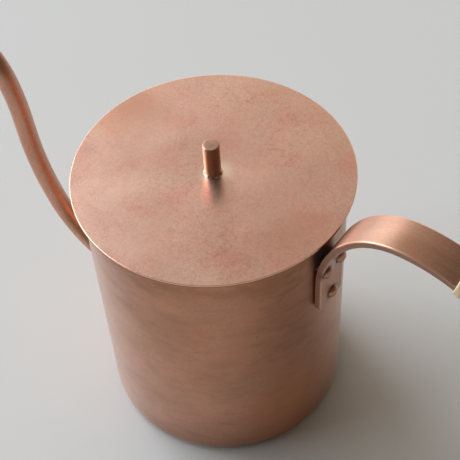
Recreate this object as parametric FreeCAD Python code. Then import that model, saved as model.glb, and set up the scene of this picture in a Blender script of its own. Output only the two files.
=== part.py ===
import FreeCAD, Part
import math
import os

# Copper gooseneck kettle for slow pouring. A straight-sided spun can carries a bent tube spout,
# a riveted strap handle with a cane-wound grip, and a flat lid that lifts off.
# Sizes are in millimetres. +Z is up, the handle points along +X and the spout along -X.
# The origin is the centre of the base, on the surface that the kettle stands on.

Vector = FreeCAD.Vector
UP = Vector(0, 0, 1)
HANDLE_SIDE = 1
SPOUT_SIDE = -1

# Body: one spun can, wall and base in one piece
body_diameter = 95.0
body_height = 112.5
body_wall = 1.0
base_corner = 3.5

# Spout: one drawn tube, let into the wall and bent in the plane of the handle
spout_diameter = 8.0
spout_wall = 0.8
spout_height = 20.3
spout_stub = 1.6
spout_foot_run = 3.0
spout_sweep_radius = 42.4
spout_sweep_turn = 64.5
spout_rise_radius = 97.0
spout_rise_turn = 20.7
spout_neck_run = 9.9
spout_lean_radius = 82.4
spout_lean_turn = 11.9
spout_lip_radius = 29.3
spout_lip_run = 5.0

# Handle: one flat bar, its foot upright against the wall, then four bends to the free end
strap_width = 14.0
strap_thickness = 2.7
strap_edge = 0.5
strap_foot_corner = 0.6
strap_end_corner = 2.5
strap_foot_below_rim = 35.2
strap_bend_below_rim = 21.8
shoulder_radius = 43.9
shoulder_turn = 38.8
crown_radius = 26.2
crown_turn = 48.2
lead_radius = 49.2
lead_turn = 40.0
grip_radius = 70.0
grip_end_bare = 12.0

# Rivets: two side by side near the rim and one below them
rivet_diameter = 4.0
rivet_spread = 8.6
rivet_pair_from_foot = 19.8
rivet_low_from_foot = 3.6
rivet_low_aside = 0.4
rivet_head_diameter = 5.6
rivet_head_height = 1.9
rivet_tail_diameter = 6.4
rivet_tail_height = 1.2
rivet_tail_rim = 0.2

# Grip: one length of cane wound round the bar
cane_diameter = 1.7
cane_turn_gap = 1.6
cane_crown = 0.2
grip_turns = 24
grip_from_crown = 18.9

# Lid: a flat disc, a locating collar under it and a plain rod for a knob
lid_overhang = 3.0
lid_thickness = 1.2
lid_edge = 0.2
collar_wall = 0.8
collar_depth = 8.0
knob_diameter = 6.0
knob_height = 13.2
knob_edge = 0.5
tenon_diameter = 4.0

# Silver braze: the fillets that hold the spout, the collar and the knob
spout_braze_leg = 1.6
collar_braze_leg = 1.0
knob_braze_leg = 1.1
braze_rim = 0.15
braze_hollow = 0.4

# Clearances
brazed_fit = 0.05
rivet_fit = 0.05
collar_fit = 0.4
cane_seat = 0.1

# Sizes that follow from those above
body_radius = body_diameter/2
bore_radius = body_radius - body_wall
lid_radius = body_radius + lid_overhang
lid_top = body_height + lid_thickness
spout_radius = spout_diameter/2
cane_pitch = cane_diameter + cane_turn_gap


class Route:
    """Straight runs and tangent bends in the upright plane of the handle and the spout.

    A place on it is given by the distance along it, an offset to its left and a shift across.
    """

    def __init__(self, reach, height, heading, side):
        self.start = (reach, height, math.radians(heading))
        self.side = side
        self.legs = []

    def run(self, length):
        self.legs.append((length, 0.0))

    def bend(self, radius, turn):
        self.legs.append((radius*math.radians(abs(turn)), math.copysign(1/radius, turn)))

    def length(self):
        return sum(length for length, curve in self.legs)

    def state(self, distance):
        reach, height, heading = self.start
        left = distance
        for length, curve in self.legs:
            step = min(left, length)
            half_turn = step*curve/2
            chord = 2*math.sin(half_turn)/curve if curve else step
            reach += chord*math.cos(heading + half_turn)
            height += chord*math.sin(heading + half_turn)
            heading += 2*half_turn
            left -= step
        return reach, height, heading

    def tangent(self, distance):
        heading = self.state(distance)[2]
        return Vector(self.side*math.cos(heading), 0, math.sin(heading))

    def normal(self, distance):
        heading = self.state(distance)[2]
        return Vector(-self.side*math.sin(heading), 0, math.cos(heading))

    def point(self, distance, offset=0.0, across=0.0):
        reach, height, heading = self.state(distance)
        return Vector(self.side*reach, across, height) + self.normal(distance)*offset

    def edges(self, offset=0.0, across=0.0):
        edges = []
        begin = 0.0
        for length, curve in self.legs:
            start = self.point(begin, offset, across)
            middle = self.point(begin + length/2, offset, across)
            end = self.point(begin + length, offset, across)
            edge = Part.Arc(start, middle, end) if curve else Part.LineSegment(start, end)
            edges.append(edge.toShape())
            begin += length
        return edges

    def wire(self):
        return Part.Wire(self.edges())


def revolved(outline, axis_point, axis):
    """The solid that a closed list of edges sweeps in a full turn."""
    return Part.Face(Part.Wire(outline)).revolve(axis_point, axis, 360)


def chain(points):
    """Straight edges from each point to the next."""
    return [Part.LineSegment(a, b).toShape() for a, b in zip(points, points[1:])]


def rod(radius, length, place, direction):
    """A round rod from a place along a direction."""
    return Part.makeCylinder(radius, length, place, direction)


def dome(diameter, height, root, place, direction):
    """A low spherical cap at a place, on a round root that reaches back from it.

    The seam of its round face is turned aside, off the plane of the handle.
    """
    seam_aside = 45
    base = diameter/2
    ball = (base**2 + height**2)/(2*height)
    half_angle = math.atan2(base, ball - height)/2
    rim = Vector(base, 0, 0)
    middle = Vector(ball*math.sin(half_angle), 0, height - ball + ball*math.cos(half_angle))
    top = Vector(0, 0, height)
    outline = chain([top, Vector(0, 0, -root), Vector(base, 0, -root), rim])
    outline.append(Part.Arc(rim, middle, top).toShape())
    cap = revolved(outline, Vector(0, 0, 0), UP)
    turn = FreeCAD.Rotation(UP, direction).multiply(FreeCAD.Rotation(UP, seam_aside))
    cap.Placement = FreeCAD.Placement(place, turn)
    return cap


def fillet_ring(radius, leg, level, outward, downward):
    """A ring of braze in the corner between a round face of that radius and a flat face at that level."""
    out = leg if outward else -leg
    drop = -1 if downward else 1
    inner_foot = Vector(radius, 0, level)
    outer_foot = Vector(radius + out, 0, level)
    outer_rim = Vector(radius + out, 0, level + drop*braze_rim)
    middle = Vector(radius + out*braze_hollow, 0, level + drop*leg*braze_hollow)
    top = Vector(radius, 0, level + drop*leg)
    outline = chain([inner_foot, outer_foot, outer_rim])
    outline.append(Part.Arc(outer_rim, middle, top).toShape())
    outline += chain([top, inner_foot])
    return revolved(outline, Vector(0, 0, 0), UP)


def tube_along(wire, radius, place, direction):
    """A round rod that follows a wire from the given place."""
    section = Part.Wire(Part.makeCircle(radius, place, direction))
    return wire.makePipeShell([section], True, False)


def handle_route():
    """The middle line of the bar from its foot to its free end."""
    route = Route(body_radius + strap_thickness/2, body_height - strap_foot_below_rim, 90, HANDLE_SIDE)
    route.run(strap_foot_below_rim - strap_bend_below_rim)
    route.bend(shoulder_radius, -shoulder_turn)
    route.bend(crown_radius, -crown_turn)
    crown_end = route.length()
    route.bend(lead_radius, -lead_turn)
    wound_end = crown_end + grip_from_crown + grip_turns*cane_pitch
    grip_length = wound_end + grip_end_bare - route.length()
    route.bend(grip_radius, -math.degrees(grip_length/grip_radius))
    return route, crown_end + grip_from_crown


def spout_route():
    """The middle line of the spout from inside the wall to its level mouth."""
    route = Route(bore_radius - spout_stub, spout_height, 0, SPOUT_SIDE)
    route.run(spout_stub + body_wall + spout_foot_run)
    route.bend(spout_sweep_radius, spout_sweep_turn)
    route.bend(spout_rise_radius, spout_rise_turn)
    route.run(spout_neck_run)
    route.bend(spout_lean_radius, -spout_lean_turn)
    route.bend(spout_lip_radius, spout_lean_turn - spout_sweep_turn - spout_rise_turn)
    route.run(spout_lip_run)
    return route


def rivet_axes(route):
    """Where each rivet meets the outer face of the bar, and its way out, square to that face."""
    marks = (
        (rivet_pair_from_foot, -rivet_spread/2),
        (rivet_pair_from_foot, rivet_spread/2),
        (rivet_low_from_foot, rivet_low_aside),
    )
    axes = []
    for distance, across in marks:
        axes.append((route.point(distance, -strap_thickness/2, across), route.normal(distance)*-1))
    return axes


def drilled(shape, axes):
    """The shape with a hole along each rivet, through the bar and the wall."""
    depth = strap_thickness + body_wall + rivet_tail_diameter
    for place, way in axes:
        length = depth + rivet_head_height
        shape = shape.cut(rod(rivet_diameter/2 + rivet_fit, length, place - way*depth, way))
    return shape


def tube_ring(inner, outer, low, high):
    """A plain ring about Z."""
    ring = rod(outer, high - low, Vector(0, 0, low), UP)
    return ring.cut(rod(inner, high - low, Vector(0, 0, low), UP))


def corner_arc(centre_x, centre_z, radius):
    """The quarter circle that turns from a level base up into a wall."""
    low = Vector(centre_x, 0, centre_z - radius)
    middle = Vector(centre_x + radius*math.sin(math.pi/4), 0, centre_z - radius*math.cos(math.pi/4))
    high = Vector(centre_x + radius, 0, centre_z)
    return Part.Arc(low, middle, high).toShape()


def make_body_shell(axes):
    inner_corner = max(base_corner - body_wall, body_wall)
    outline = chain([Vector(0, 0, 0), Vector(body_radius - base_corner, 0, 0)])
    outline.append(corner_arc(body_radius - base_corner, base_corner, base_corner))
    outline += chain([
        Vector(body_radius, 0, base_corner),
        Vector(body_radius, 0, body_height),
        Vector(bore_radius, 0, body_height),
        Vector(bore_radius, 0, body_wall + inner_corner),
    ])
    outline.append(corner_arc(bore_radius - inner_corner, body_wall + inner_corner, inner_corner))
    outline += chain([
        Vector(bore_radius - inner_corner, 0, body_wall),
        Vector(0, 0, body_wall),
        Vector(0, 0, 0),
    ])
    shell = drilled(revolved(outline, Vector(0, 0, 0), UP), axes)
    spout_way = Vector(SPOUT_SIDE, 0, 0)
    return shell.cut(rod(spout_radius + brazed_fit, body_diameter, Vector(0, 0, spout_height), spout_way))


def make_spout_tube(route):
    wire = route.wire()
    outside = tube_along(wire, spout_radius, route.point(0), route.tangent(0))
    inside = tube_along(wire, spout_radius - spout_wall, route.point(0), route.tangent(0))
    return outside.cut(inside)


def make_spout_braze():
    ring = fillet_ring(spout_radius, spout_braze_leg, 0, True, False)
    ring = ring.fuse(tube_ring(spout_radius, spout_radius + spout_braze_leg, -body_wall, 0)).removeSplitter()
    ring.rotate(Vector(0, 0, 0), Vector(0, 1, 0), 90*SPOUT_SIDE)
    ring.translate(Vector(SPOUT_SIDE*body_radius, 0, spout_height))
    return ring.cut(rod(body_radius, body_height, Vector(0, 0, 0), UP))


def strap_section(route):
    """The bar's section at its foot, with rounded edges."""
    corners = []
    for quarter, (across, offset) in enumerate(((1, 1), (-1, 1), (-1, -1), (1, -1))):
        middle_across = across*(strap_width/2 - strap_edge)
        middle_offset = offset*(strap_thickness/2 - strap_edge)
        points = []
        for eighth in range(3):
            angle = math.pi/2*quarter + math.pi/4*eighth
            shift = strap_edge*math.sin(angle)
            points.append(route.point(0, middle_offset + shift, middle_across + strap_edge*math.cos(angle)))
        corners.append(points)
    edges = []
    for corner, following in zip(corners, corners[1:] + corners[:1]):
        edges.append(Part.Arc(*corner).toShape())
        edges.append(Part.LineSegment(corner[-1], following[0]).toShape())
    return Part.Wire(edges)


def end_corner_cutters(route, distance, outward, radius):
    """What comes off the two corners of an end of the bar to round them."""
    cutters = []
    along = route.tangent(distance)*outward*radius
    normal = route.normal(distance)
    for side in (1, -1):
        beside = Vector(0, side*radius, 0)
        corner = route.point(distance, -strap_thickness, side*strap_width/2)
        middle = corner - along - beside + (along + beside)*math.sin(math.pi/4)
        outline = [Part.Arc(corner - along, middle, corner - beside).toShape()]
        outline += chain([
            corner - beside,
            corner - beside + along,
            corner + beside + along,
            corner + beside - along,
            corner - along,
        ])
        cutters.append(Part.Face(Part.Wire(outline)).extrude(normal*(2*strap_thickness)))
    return cutters


def make_strap_blank(route):
    """The bent bar before its rivet holes are drilled."""
    bar = route.wire().makePipeShell([strap_section(route)], True, False)
    ends = ((0.0, -1, strap_foot_corner), (route.length(), 1, strap_end_corner))
    for distance, outward, radius in ends:
        for cutter in end_corner_cutters(route, distance, outward, radius):
            bar = bar.cut(cutter)
    return bar


def make_head_seat(route):
    """The bar's faces as a plain block, wide enough to trim a head that reaches past the bar's edge."""
    width = strap_width + 2*rivet_head_diameter
    half = strap_thickness/2
    foot = chain([route.point(0, half, -width/2), route.point(0, -half, -width/2)])
    end = chain([route.point(route.length(), -half, -width/2), route.point(route.length(), half, -width/2)])
    outer_face = route.edges(-half, -width/2)
    wall_face = route.edges(half, -width/2)
    outline = Part.Wire(foot + outer_face + end + wall_face[::-1])
    return Part.Face(outline).extrude(Vector(0, width, 0))


def make_handle_rivets(head_seat, axes):
    """Each rivet has a peened head on the bar and a low tail that follows the inside of the wall."""
    inside = rod(bore_radius, body_height, Vector(0, 0, 0), UP)
    tail_radius = rivet_tail_diameter/2
    rivets = []
    for place, way in axes:
        tail_reach = math.sqrt(bore_radius**2 - (abs(place.y) + tail_radius)**2) - tail_radius*abs(way.z)
        grip = (place.x - tail_reach)/way.x + rivet_tail_rim
        tail_place = place - way*grip
        head = dome(rivet_head_diameter, rivet_head_height, strap_thickness/2, place, way).cut(head_seat)
        shank = rod(rivet_diameter/2, grip + rivet_head_height/4, tail_place, way)
        tail = dome(rivet_tail_diameter, rivet_tail_height, grip, tail_place, way*-1).common(inside)
        rivets.append(head.fuse([shank, tail]).removeSplitter())
    return Part.Compound(rivets)


def biarc(start, start_way, end, end_way, start_reach=None, end_reach=None):
    """Two tangent arcs between two places with given ways. One reach, a tangent's length, is given."""
    span = end - start
    if end_reach is None:
        first = start_reach
        second = ((span.Length**2/2 - first*span.dot(start_way))
                  / (span.dot(end_way) + first*(1 - start_way.dot(end_way))))
    else:
        second = end_reach
        first = ((span.Length**2/2 - second*span.dot(end_way))
                 / (span.dot(start_way) + second*(1 - start_way.dot(end_way))))
    corner_a = start + start_way*first
    corner_b = end - end_way*second
    joint = corner_a + (corner_b - corner_a)*(first/(first + second))
    return [tangent_arc(start, corner_a, joint), tangent_arc(joint, corner_b, end)]


def tangent_arc(start, corner, end):
    """The arc from start to end whose end tangents meet at the corner."""
    chord_middle = (start + end)*0.5
    rise = (corner - chord_middle).Length
    half_chord = (end - start).Length/2
    sagitta = half_chord*math.tan(math.atan2(rise, half_chord)/2)
    return Part.Arc(start, chord_middle + (corner - chord_middle)*(sagitta/rise), end).toShape()


def cane_path(route, begin):
    """One unbroken line of cane: flat arcs over the bar's faces, tight arcs round its edges.

    Each quarter turn is a biarc from the middle of a face to an edge, or from an edge to a face.
    """
    edge_turn = strap_thickness/2 + cane_seat + cane_diameter/2
    wide = strap_width/2 - strap_edge + edge_turn
    high = edge_turn + cane_crown
    flat_radius = ((wide - edge_turn)**2 + high**2 - edge_turn**2)/(2*cane_crown)
    flat_turn = math.asin((wide - edge_turn)/(flat_radius - edge_turn))
    flat_reach = flat_radius*math.tan(flat_turn/2)
    loop_length = 4*(flat_radius*flat_turn + edge_turn*(math.pi/2 - flat_turn))
    slope = cane_pitch/loop_length
    stations = ((-high, 0, 0, 1), (0, wide, 1, 0), (high, 0, 0, -1), (0, -wide, -1, 0))
    places = []
    ways = []
    for quarter in range(4*grip_turns + 1):
        offset, across, way_out, way_across = stations[quarter % 4]
        distance = begin + cane_pitch*quarter/4
        places.append(route.point(distance, offset, across))
        way = route.normal(distance)*way_out + Vector(0, way_across, 0) + route.tangent(distance)*slope
        ways.append(way.normalize())
    edges = [Part.LineSegment(places[0] - ways[0]*cane_diameter, places[0]).toShape()]
    for quarter in range(4*grip_turns):
        reaches = (flat_reach, None) if quarter % 2 == 0 else (None, flat_reach)
        edges += biarc(places[quarter], ways[quarter], places[quarter + 1], ways[quarter + 1], *reaches)
    edges.append(Part.LineSegment(places[-1], places[-1] + ways[-1]*cane_diameter).toShape())
    return edges, ways[0]


def least_turn_gap(edges):
    """The least clear space between one turn of the cane and the next, measured on points."""
    per_edge = 12
    points = [point for edge in edges for point in edge.discretize(per_edge + 1)[:-1]]
    per_turn = 8*per_edge
    closest = min(
        (points[first] - points[second]).Length
        for first in range(len(points))
        for second in range(first + per_turn//2, min(first + 3*per_turn//2, len(points))))
    return closest - cane_diameter


def make_grip_wrap(route, begin):
    edges, way = cane_path(route, begin)
    start = edges[0].firstVertex().Point
    wire = Part.Wire(edges)
    wrap = tube_along(wire, cane_diameter/2, start, way)
    expected = math.pi*(cane_diameter/2)**2*wire.Length
    print("cane wound: %.0f mm, least gap between turns %.2f mm, volume to section times length %.4f"
          % (wire.Length, least_turn_gap(edges), wrap.Volume/expected))
    return wrap


def make_lid_disc():
    seat = Vector(0, 0, body_height)
    disc = rod(lid_radius, lid_thickness, seat, UP)
    disc = disc.makeFillet(lid_edge, [edge for edge in disc.Edges if len(edge.Vertexes) == 1])
    return disc.cut(rod(tenon_diameter/2 + brazed_fit, lid_thickness, seat, UP))


def make_lid_collar():
    outer = bore_radius - collar_fit
    return tube_ring(outer - collar_wall, outer, body_height - collar_depth, body_height)


def make_collar_braze():
    return fillet_ring(bore_radius - collar_fit - collar_wall, collar_braze_leg, body_height, False, True)


def make_lid_knob():
    stem = rod(knob_diameter/2, knob_height, Vector(0, 0, lid_top), UP)
    top = [edge for edge in stem.Edges if edge.BoundBox.ZMin > lid_top + knob_height/2]
    tenon = rod(tenon_diameter/2, lid_thickness, Vector(0, 0, body_height), UP)
    return stem.makeChamfer(knob_edge, top).fuse(tenon).removeSplitter()


def make_knob_braze():
    return fillet_ring(knob_diameter/2, knob_braze_leg, lid_top, True, False)


handle, wound_from = handle_route()
spout = spout_route()
rivets = rivet_axes(handle)
strap_blank = make_strap_blank(handle)

nodes = {
    "body_shell": make_body_shell(rivets),
    "spout_tube": make_spout_tube(spout),
    "spout_braze": make_spout_braze(),
    "handle_strap": drilled(strap_blank, rivets),
    "handle_rivets": make_handle_rivets(make_head_seat(handle), rivets),
    "grip_wrap": make_grip_wrap(handle, wound_from),
    "lid_disc": make_lid_disc(),
    "lid_collar": make_lid_collar(),
    "collar_braze": make_collar_braze(),
    "lid_knob": make_lid_knob(),
    "knob_braze": make_knob_braze(),
}

os.makedirs("parts", exist_ok=True)
for name, shape in nodes.items():
    print("%-14s solids %d valid %s volume %.1f" % (name, len(shape.Solids), shape.isValid(), shape.Volume))
    shape.exportStep("parts/" + name + ".step")
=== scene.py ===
import math

import bmesh
import bpy
from mathutils import Matrix, Vector, noise


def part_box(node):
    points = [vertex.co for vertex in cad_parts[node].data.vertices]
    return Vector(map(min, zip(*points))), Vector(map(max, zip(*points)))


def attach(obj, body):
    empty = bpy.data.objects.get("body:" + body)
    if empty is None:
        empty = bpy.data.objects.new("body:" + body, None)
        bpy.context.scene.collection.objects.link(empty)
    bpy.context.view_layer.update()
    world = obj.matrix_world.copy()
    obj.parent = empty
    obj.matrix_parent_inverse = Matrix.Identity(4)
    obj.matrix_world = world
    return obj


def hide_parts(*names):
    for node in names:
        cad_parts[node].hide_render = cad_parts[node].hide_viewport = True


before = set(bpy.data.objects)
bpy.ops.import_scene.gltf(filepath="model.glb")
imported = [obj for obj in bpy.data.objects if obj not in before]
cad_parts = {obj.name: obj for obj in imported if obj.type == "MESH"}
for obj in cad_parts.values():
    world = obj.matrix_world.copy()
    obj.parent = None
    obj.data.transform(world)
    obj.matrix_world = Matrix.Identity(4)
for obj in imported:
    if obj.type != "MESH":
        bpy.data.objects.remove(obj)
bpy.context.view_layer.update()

# The can
# One disc of copper sheet spun over a former: base, small round corner and straight wall in one.
# The outside is satin, rubbed round and round, and browned by hands and steam. The inside is wiped with tin.
# The wall is also painted darker as shadow under the lid's edge and beside the handle's foot.
MM = 0.001


def turned_size(node):
    """A turned node's radius, and the heights of its foot and its top, in millimetres."""
    low, high = [Vector(corner)/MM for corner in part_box(node)]
    return (high.x - low.x)/2, low.z, high.z


can_radius, _, can_height = turned_size("body_shell")
can_wall = 1.0
can_corner = 3.5
bore_radius = can_radius - can_wall
bore_corner = can_corner - can_wall
rim_round = 0.3
rim_height = can_height - rim_round
wall_rows = 40
base_rows = 8
full_turn_steps = 192


def arc(centre, radius, start, end, steps):
    """Points (radius, height) of an arc about a centre, between two angles in degrees."""
    angles = [math.radians(start + (end - start)*step/steps) for step in range(steps + 1)]
    return [(centre[0] + radius*math.cos(angle), centre[1] + radius*math.sin(angle)) for angle in angles]


def ramp(start, end, steps):
    """Points from one (radius, height) to another, the last one left out."""
    return [(start[0] + (end[0] - start[0])*step/steps, start[1] + (end[1] - start[1])*step/steps)
            for step in range(steps)]


def lathe(outline, steps):
    """A bmesh turned about Z from (radius, height) points. A point on the axis becomes a single vertex."""
    turned = bmesh.new()
    turns = [2*math.pi*step/steps for step in range(steps)]
    rings = []
    for radius, height in outline:
        if radius == 0:
            rings.append([turned.verts.new((0, 0, height))]*steps)
            continue
        rings.append([turned.verts.new((radius*math.cos(turn), radius*math.sin(turn), height))
                      for turn in turns])
    for low, high in zip(rings, rings[1:]):
        for step in range(steps):
            following = (step + 1) % steps
            turned.faces.new(dict.fromkeys((low[step], low[following], high[following], high[step])))
    return turned


can_outline = ramp((0, 0), (can_radius - can_corner, 0), base_rows)
can_outline += arc((can_radius - can_corner, can_corner), can_corner, -90, 0, 10)
can_outline += ramp((can_radius, can_corner), (can_radius, rim_height), wall_rows)[1:]
can_outline += arc((can_radius - rim_round, rim_height), rim_round, 0, 90, 4)
can_outline += arc((bore_radius + rim_round, rim_height), rim_round, 90, 180, 4)
can_outline += ramp((bore_radius, rim_height), (bore_radius, can_corner), wall_rows)[1:]
can_outline += arc((bore_radius - bore_corner, can_corner), bore_corner, 0, -90, 8)
can_outline += ramp((bore_radius - bore_corner, can_wall), (0, can_wall), base_rows)[1:] + [(0, can_wall)]
can_shape = lathe(can_outline, full_turn_steps)
lining_reach = bore_radius + 0.02
for face in can_shape.faces:
    middle = face.calc_center_median()
    lining = middle.xy.length < lining_reach and middle.z > can_wall/2
    face.material_index = 1 if lining else 0


class Value:
    """An output of a node. A sum with it puts one more node into the same tree."""

    def __init__(self, socket):
        self.socket = socket
        self.tree = socket.id_data

    def __getitem__(self, name):
        """Another output of the same node."""
        return Value(self.socket.node.outputs[name])

    def math(self, operation, other=None):
        """The result of one sum, with another value where the sum takes two."""
        kind = "ShaderNodeVectorMath" if self.socket.type == "VECTOR" else "ShaderNodeMath"
        inputs = {0: self} if other is None else {0: self, 1: other}
        return put(self.tree, kind, inputs, operation=operation)

    def __add__(self, other):
        return self.math("ADD", other)

    def __sub__(self, other):
        return self.math("SUBTRACT", other)

    def __mul__(self, other):
        return self.math("MULTIPLY", other)

    def __truediv__(self, other):
        return self.math("DIVIDE", other)

    def to(self, socket):
        """Links this output to an input."""
        self.tree.links.new(self.socket, socket)


def put(tree, kind, inputs=None, **settings):
    """Adds a node, sets its options, links or sets its inputs, and gives its first output."""
    node = tree.nodes.new(kind)
    for name, value in settings.items():
        setattr(node, name, value)
    for key, value in (inputs or {}).items():
        if isinstance(value, Value):
            value.to(node.inputs[key])
        else:
            node.inputs[key].default_value = value
    return Value(node.outputs[0])


def scaled(vector, scale):
    """A vector made longer or shorter by a value."""
    return put(vector.tree, "ShaderNodeVectorMath", {0: vector, "Scale": scale}, operation="SCALE")


def spread(value, low, high, to_low=0.0, to_high=1.0):
    """Maps a value from one span to another, smoothly and clamped."""
    return put(value.tree, "ShaderNodeMapRange", {"Value": value, 1: low, 2: high, 3: to_low, 4: to_high},
               interpolation_type="SMOOTHSTEP")


def varied(value, to_low=0.0, to_high=1.0):
    """Maps a noise, which mostly keeps between 0.3 and 0.7, to another span."""
    return spread(value, 0.3, 0.7, to_low, to_high)


def mixed(factor, first, second):
    """One colour over another."""
    return put(factor.tree, "ShaderNodeMix", {0: factor, 6: first, 7: second}, data_type="RGBA")[2]


def shaded(tone, level):
    """A colour made lighter or darker by a level."""
    grey = put(tone.tree, "ShaderNodeCombineColor", {part: level for part in range(3)})
    return put(tone.tree, "ShaderNodeMix", {0: 1.0, 6: tone, 7: grey}, data_type="RGBA",
               blend_type="MULTIPLY")[2]


def colour(red, green, blue):
    """A colour given as 0 to 255 on screen, in the linear values that a shader takes."""
    parts = [part/255 for part in (red, green, blue)]
    return tuple(part/12.92 if part <= 0.04045 else ((part + 0.055)/1.055)**2.4 for part in parts) + (1.0,)


def per_metre(size):
    """The noise scale whose features are about this many millimetres wide."""
    return 1/(size*MM)


def metres(point):
    """A point or a size that is given in millimetres."""
    return [part*MM for part in point]


def mottle(place, scale, detail, roughness=0.5, distortion=0.0):
    """A cloudy noise between 0 and 1."""
    return put(place.tree, "ShaderNodeTexNoise", {"Vector": place, "Scale": scale, "Detail": detail,
                                                  "Roughness": roughness, "Distortion": distortion})


def stretched(place, scale):
    """Coordinates scaled on each axis, so that a noise is drawn out along the small ones."""
    return put(place.tree, "ShaderNodeMapping", {"Vector": place, "Scale": scale})


def bumped(height, distance, strength, beneath=None):
    """A normal from a height of 0 to 1 that stands for this many millimetres, over another if given."""
    inputs = {"Height": height, "Distance": distance*MM, "Strength": strength}
    if beneath:
        inputs["Normal"] = beneath
    return put(height.tree, "ShaderNodeBump", inputs)


def principled(name, **constants):
    """A new material, its shader's inputs and its object coordinates."""
    material = bpy.data.materials.new(name)
    material.use_nodes = True
    shader = material.node_tree.nodes["Principled BSDF"].inputs
    for label, value in constants.items():
        shader[label.replace("_", " ")].default_value = value
    return material, shader, put(material.node_tree, "ShaderNodeTexCoord")["Object"]


def surface(shader, tone, roughness, normal):
    """Links the three parts of a finish to the shader."""
    tone.to(shader["Base Color"])
    roughness.to(shader["Roughness"])
    normal.to(shader["Normal"])


def group_of(name, inputs, outputs, kind="ShaderNodeTree"):
    """A new node group: its tree, what it is given, and where its results go."""
    tree = bpy.data.node_groups.new(name, kind)
    for way, sockets in (("INPUT", inputs), ("OUTPUT", outputs)):
        for label, socket in sockets.items():
            tree.interface.new_socket(label, in_out=way, socket_type="NodeSocket" + socket)
    return tree, put(tree, "NodeGroupInput"), tree.nodes.new("NodeGroupOutput").inputs


def grouped(place, group, inputs):
    """The first output of a node group, at this place and with these inputs."""
    return put(place.tree, "ShaderNodeGroup", {"Vector": place, **inputs}, node_tree=group)


# Patina: soft patches of a second tone, and rosier patches where the oxide is fresh, over a fine grain
patina, given, result = group_of("copper patina", {
    "Vector": "Vector", "Patch": "Float", "Metal": "Color", "Tan": "Color", "Rose": "Color",
    "Rose Share": "Float"}, {"Color": "Color", "Cloud": "Float"})
cloud = mottle(given["Vector"], given["Patch"], 4.0, 0.6)
shifted = given["Vector"] + (0.37, 0.11, 0.23)
fresh = mottle(shifted, given["Patch"]*1.6, 5.0, 0.65, 0.5)
grain = mottle(shifted, given["Patch"]*24.0, 3.0)
toned = mixed(spread(cloud, 0.32, 0.68), given["Metal"], given["Tan"])
toned = mixed(spread(fresh, 0.46, 0.7)*given["Rose Share"], toned, given["Rose"])
shaded(toned, varied(grain, 0.94, 1.06)).to(result["Color"])
cloud.to(result["Cloud"])


def patinated(place, patch, metal, tan, rose, rose_share):
    """The patina's colour and its cloud, with patches of about this many millimetres in these tones."""
    tone = grouped(place, patina, {
        "Patch": per_metre(patch), "Metal": colour(*metal), "Tan": colour(*tan), "Rose": colour(*rose),
        "Rose Share": rose_share})
    return tone, tone["Cloud"]


# Rubbed lines: the fine streaks that are left by rubbing one way, from coordinates drawn out along that way
rubbed, given, result = group_of(
    "rubbed lines", {"Vector": "Vector", "Break Up": "Vector"}, {"Line": "Float"})
line = mottle(given["Vector"], 1.0, 6.0, 0.7)
gaps = mottle(given["Break Up"], per_metre(22), 2.0)
((line - 0.5)*spread(gaps, 0.3, 0.65, 0.25, 1.0) + 0.5).to(result["Line"])


def rubbed_lines(place, scale):
    """Rubbed lines that run along the axes of the smallest scale."""
    return grouped(stretched(place, scale), rubbed, {"Break Up": place})


# Scratch: one straight hairline from point to point, whose ends fade out
scratch, given, result = group_of(
    "hairline scratch", {"Vector": "Vector", "Start": "Vector", "End": "Vector", "Width": "Float"},
    {"Mask": "Float"})
span = given["End"] - given["Start"]
reach = given["Vector"] - given["Start"]
along = reach.math("DOT_PRODUCT", span)["Value"]/span.math("DOT_PRODUCT", span)["Value"]
share = put(scratch, "ShaderNodeClamp", {0: along})
away = reach.math("DISTANCE", scaled(span, share))["Value"]
ends = (share*(share - 1.0)*-4.0).math("SQRT")
(spread(away, 0.0, given["Width"], 1.0, 0.0)*ends).to(result["Mask"])

# Soft spot: a round patch about a centre that fades out over its size
soft_spot, given, result = group_of(
    "soft spot", {"Vector": "Vector", "Centre": "Vector", "Size": "Vector"}, {"Mask": "Float"})
aside = ((given["Vector"] - given["Centre"])/given["Size"]).math("LENGTH")["Value"]
spread(aside, 0.0, 1.0, 1.0, 0.0).to(result["Mask"])


def spots(place, marks):
    """Soft spots of a centre, a size in millimetres and a strength, added up."""
    total = 0.0
    for centre, size, strength in marks:
        mask = grouped(place, soft_spot, {"Centre": metres(centre), "Size": metres(size)})
        total = mask*strength + total
    return total


# Smoke and painted shadow: the marks up against the rim paint the shadow under the lid's edge, those next to
# the handle's foot paint its shadow on the wall, and the others are smoke.
smoke_and_shadow_tone = colour(152, 93, 52)
smoke_and_shadow_marks = (((12.0, -46.0, 78.0), (26, 26, 24), 0.5), ((-2.0, -47.4, 92.0), (24, 24, 18), 0.35),
               ((40.0, -25.0, 62.0), (24, 24, 40), 0.45), ((26.0, -39.8, 52.0), (16, 16, 22), 0.2),
               ((45.5, -12.0, 92.0), (28, 28, 40), 0.95), ((4.0, -47.3, 107.0), (40, 26, 14), 1.0),
               ((40.0, -25.6, 106.0), (24, 24, 12), 0.7), ((8.0, -46.8, 50.0), (30, 30, 64), 0.2),
               ((12.0, -46.0, 6.0), (52, 34, 15), 0.6), ((46.6, -9.0, 62.0), (20, 20, 30), 0.4))
warm_tone = colour(222, 138, 84)
warm_marks = (((44.6, -16.2, 18.0), (30, 30, 46), 0.7),)
scratch_tone = colour(92, 54, 36)
scratch_start = (25.4, -40.1, 21.9)
scratch_end = (31.4, -35.6, 19.7)
scratch_width = 0.45
scratch_strength = 0.7


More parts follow.
